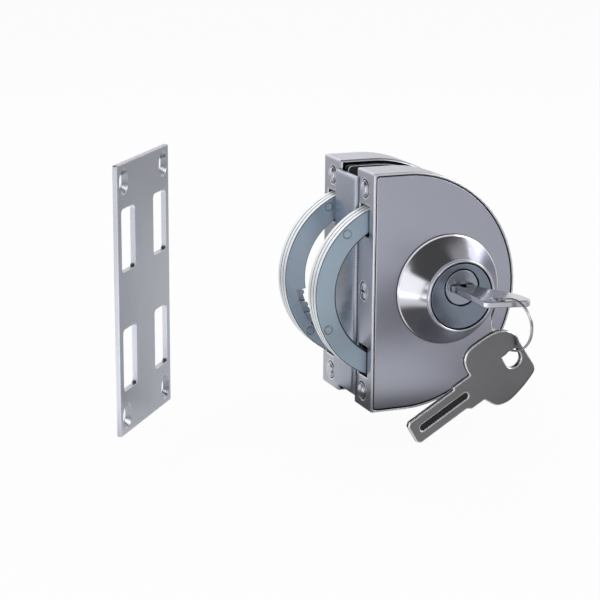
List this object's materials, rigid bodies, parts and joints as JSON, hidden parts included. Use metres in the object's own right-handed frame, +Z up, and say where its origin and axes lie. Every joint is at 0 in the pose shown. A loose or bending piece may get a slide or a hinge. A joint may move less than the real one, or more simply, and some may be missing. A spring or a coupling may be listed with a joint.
{
  "type": "sliding door lock",
  "caption": "Clamp-on lock for a sliding glass door: two D-shaped cases grip the glass, a key swings geared crescent bolts out of both into a slotted strike plate.",
  "frame": {"origin": "middle of the glass slot, at half height, in the plane of the cases' flat hook side", "axes": "+X into the door glass, away from the bolts; -Y towards the key side; +Z up"},
  "size_m": [0.1883, 0.1425, 0.1198],
  "materials": {
    "case_satin": "satin nickel over die-cast zinc",
    "face_plate": "satin nickel",
    "edge_bar": "satin",
    "bolt_zinc": "zinc plated, bluish",
    "rivet": "zinc plated",
    "rosette_chrome": "mirror polished",
    "cylinder_satin": "satin chrome",
    "plug_satin": "satin chrome",
    "key_nickel": "nickel plated brass",
    "ring_steel": "bright nickel",
    "rubber_black": "matt",
    "spacer_grey": "matt nylon",
    "inner_steel": "sintered steel, oiled",
    "screw_steel": "nickel plated",
    "pin_brass": "turned brass",
    "strike_steel": "satin stainless"
  },
  "bodies": {
    "lock_body": {"front_case": "case_satin", "rear_case": "case_satin", "front_face_plate": "face_plate", "rear_face_plate": "face_plate", "front_back_plate": "inner_steel", "rear_back_plate": "inner_steel", "front_rubber_pad": "rubber_black", "rear_rubber_pad": "rubber_black", "front_glass_spacer": "spacer_grey", "rear_glass_spacer": "spacer_grey", "edge_bar": "edge_bar", "front_guide_plate": "inner_steel", "rear_guide_plate": "inner_steel", "side_dome_screws": "screw_steel", "side_cross_screws": "screw_steel", "back_plate_screws": "screw_steel", "clamp_screws": "screw_steel", "front_idler_axle": "inner_steel", "rear_idler_axle": "inner_steel", "cylinder_rosette": "rosette_chrome", "cylinder_body": "cylinder_satin", "cylinder_nut": "inner_steel", "driver_pins": "pin_brass", "driver_springs": "inner_steel", "chamber_caps": "pin_brass", "turn_rose": "case_satin"},
    "plug": {"cylinder_plug": "plug_satin", "plug_clip": "inner_steel", "key_pins": "pin_brass", "drive_spindle": "inner_steel", "front_drive_gear": "inner_steel", "rear_drive_gear": "inner_steel", "thumb_turn": "face_plate", "turn_clip": "inner_steel"},
    "front_bolt": {"front_bolt_outer_plate": "bolt_zinc", "front_bolt_gear_plate": "bolt_zinc", "front_bolt_inner_plate": "bolt_zinc", "front_bolt_rivets": "rivet"},
    "rear_bolt": {"rear_bolt_outer_plate": "bolt_zinc", "rear_bolt_gear_plate": "bolt_zinc", "rear_bolt_inner_plate": "bolt_zinc", "rear_bolt_rivets": "rivet"},
    "front_idler": {"front_idler": "inner_steel"},
    "rear_idler": {"rear_idler": "inner_steel"},
    "key": {"inserted_key": "key_nickel"},
    "ring": {"key_ring": "ring_steel"},
    "spare_key": {"second_key": "key_nickel"},
    "strike": {"strike_plate": "strike_steel"}
  },
  "joints": [
    {"name": "key_turn", "type": "hinge", "parent": "lock_body", "child": "plug", "pos_m": [0.037, -0.028, 0.004], "axis": [0, -1, 0], "range_deg": [0, 360]},
    {"name": "front_bolt_swing", "type": "hinge", "parent": "lock_body", "child": "front_bolt", "pos_m": [0.016, -0.0185, 0], "axis": [0, 1, 0], "range_deg": [0, 135]},
    {"name": "rear_bolt_swing", "type": "hinge", "parent": "lock_body", "child": "rear_bolt", "pos_m": [0.016, 0.0185, 0], "axis": [0, 1, 0], "range_deg": [0, 135]},
    {"name": "front_idler_spin", "type": "hinge", "parent": "lock_body", "child": "front_idler", "pos_m": [0.02713, -0.0155, 0.02211], "axis": [0, 1, 0], "range_deg": [0, 540]},
    {"name": "rear_idler_spin", "type": "hinge", "parent": "lock_body", "child": "rear_idler", "pos_m": [0.02713, 0.0155, 0.02211], "axis": [0, 1, 0], "range_deg": [0, 540]},
    {"name": "key_insert", "type": "slide", "parent": "plug", "child": "key", "axis": [0, -1, 0], "range_m": [0, 0.035]},
    {"name": "ring_swing", "type": "hinge", "parent": "key", "child": "ring", "pos_m": [0.0395, -0.0776, 0.0056], "axis": [1, 0, 0], "range_deg": [-4, 15]},
    {"name": "spare_key_swing", "type": "hinge", "parent": "ring", "child": "spare_key", "pos_m": [0.0426, -0.0832, -0.0156], "axis": [0, -1, 0], "range_deg": [-30, 90]},
    {"name": "strike_travel", "type": "slide", "parent": "lock_body", "child": "strike", "axis": [1, 0, 0], "range_m": [-0.05, 0.04]}
  ],
  "couplings": [
    {"joint": "front_bolt_swing", "follows": "key_turn", "ratio": 0.375},
    {"joint": "rear_bolt_swing", "follows": "key_turn", "ratio": 0.375},
    {"joint": "front_idler_spin", "follows": "key_turn", "ratio": 1.5},
    {"joint": "rear_idler_spin", "follows": "key_turn", "ratio": 1.5}
  ]
}
